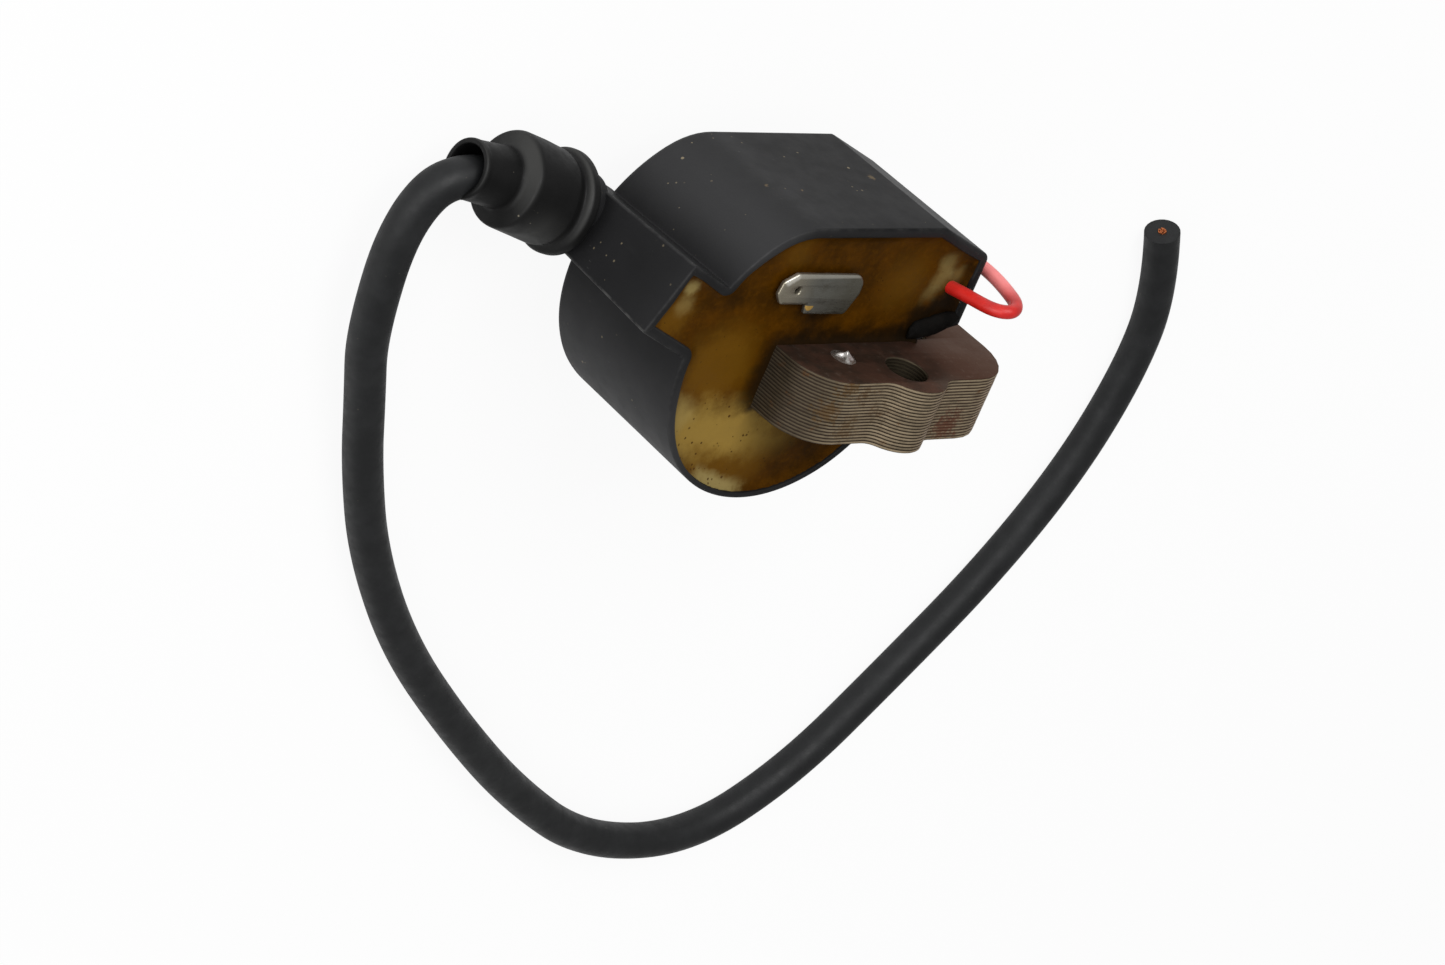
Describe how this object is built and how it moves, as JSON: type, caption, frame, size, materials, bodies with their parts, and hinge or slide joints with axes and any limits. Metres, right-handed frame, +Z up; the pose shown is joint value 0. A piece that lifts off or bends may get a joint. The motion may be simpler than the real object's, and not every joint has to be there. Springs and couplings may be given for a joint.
{
  "type": "ignition coil",
  "caption": "Potted ignition coil for a small two-stroke engine, with a laminated core, a blade terminal, a red wire loop and a booted high-tension lead.",
  "frame": {"origin": "centre of the coil's bounding box, without its lead, on the plane that the two pole ends stand on", "axes": "+X across the coil towards the free leg of the core, +Y across the laminations towards the blade terminal's side, +Z up out of the potting face"},
  "size_m": [0.177, 0.136, 0.0472],
  "materials": {
    "core_steel": "oxidised",
    "rivet_steel": "worn",
    "case_plastic": "satin",
    "potting_epoxy": "semi-gloss",
    "bobbin_plastic": "satin",
    "winding_copper": "enamelled",
    "insulation_film": "satin",
    "board_laminate": "satin",
    "component_black": "matte",
    "capacitor_film": "semi-gloss",
    "resistor_body": "semi-gloss",
    "strap_copper": "bare",
    "terminal_tin": "tinned",
    "wire_red": "gloss",
    "boot_rubber": "satin",
    "lead_jacket": "satin"
  },
  "bodies": {
    "root": {"lamination_01": "core_steel", "lamination_02": "core_steel", "lamination_03": "core_steel", "lamination_04": "core_steel", "lamination_05": "core_steel", "lamination_06": "core_steel", "lamination_07": "core_steel", "lamination_08": "core_steel", "lamination_09": "core_steel", "lamination_10": "core_steel", "lamination_11": "core_steel", "lamination_12": "core_steel", "lamination_13": "core_steel", "lamination_14": "core_steel", "lamination_15": "core_steel", "lamination_16": "core_steel", "lamination_17": "core_steel", "lamination_18": "core_steel", "lamination_19": "core_steel", "lamination_20": "core_steel", "core_rivets": "rivet_steel", "case_shell": "case_plastic", "potting_resin": "potting_epoxy", "primary_bobbin": "bobbin_plastic", "secondary_bobbin": "bobbin_plastic", "primary_winding": "winding_copper", "secondary_winding": "winding_copper", "secondary_wire": "winding_copper", "insulation_wrap": "insulation_film", "circuit_board": "board_laminate", "power_transistor": "component_black", "rectifier_diode": "component_black", "storage_capacitor": "capacitor_film", "resistors": "resistor_body", "earth_strap": "strap_copper", "lead_conductor": "strap_copper", "stop_wire_core": "strap_copper", "blade_terminal": "terminal_tin", "primary_pins": "terminal_tin", "high_tension_contact": "terminal_tin", "stop_wire_insulation": "wire_red", "lead_boot": "boot_rubber", "high_tension_lead": "lead_jacket"}
  },
  "joints": []
}
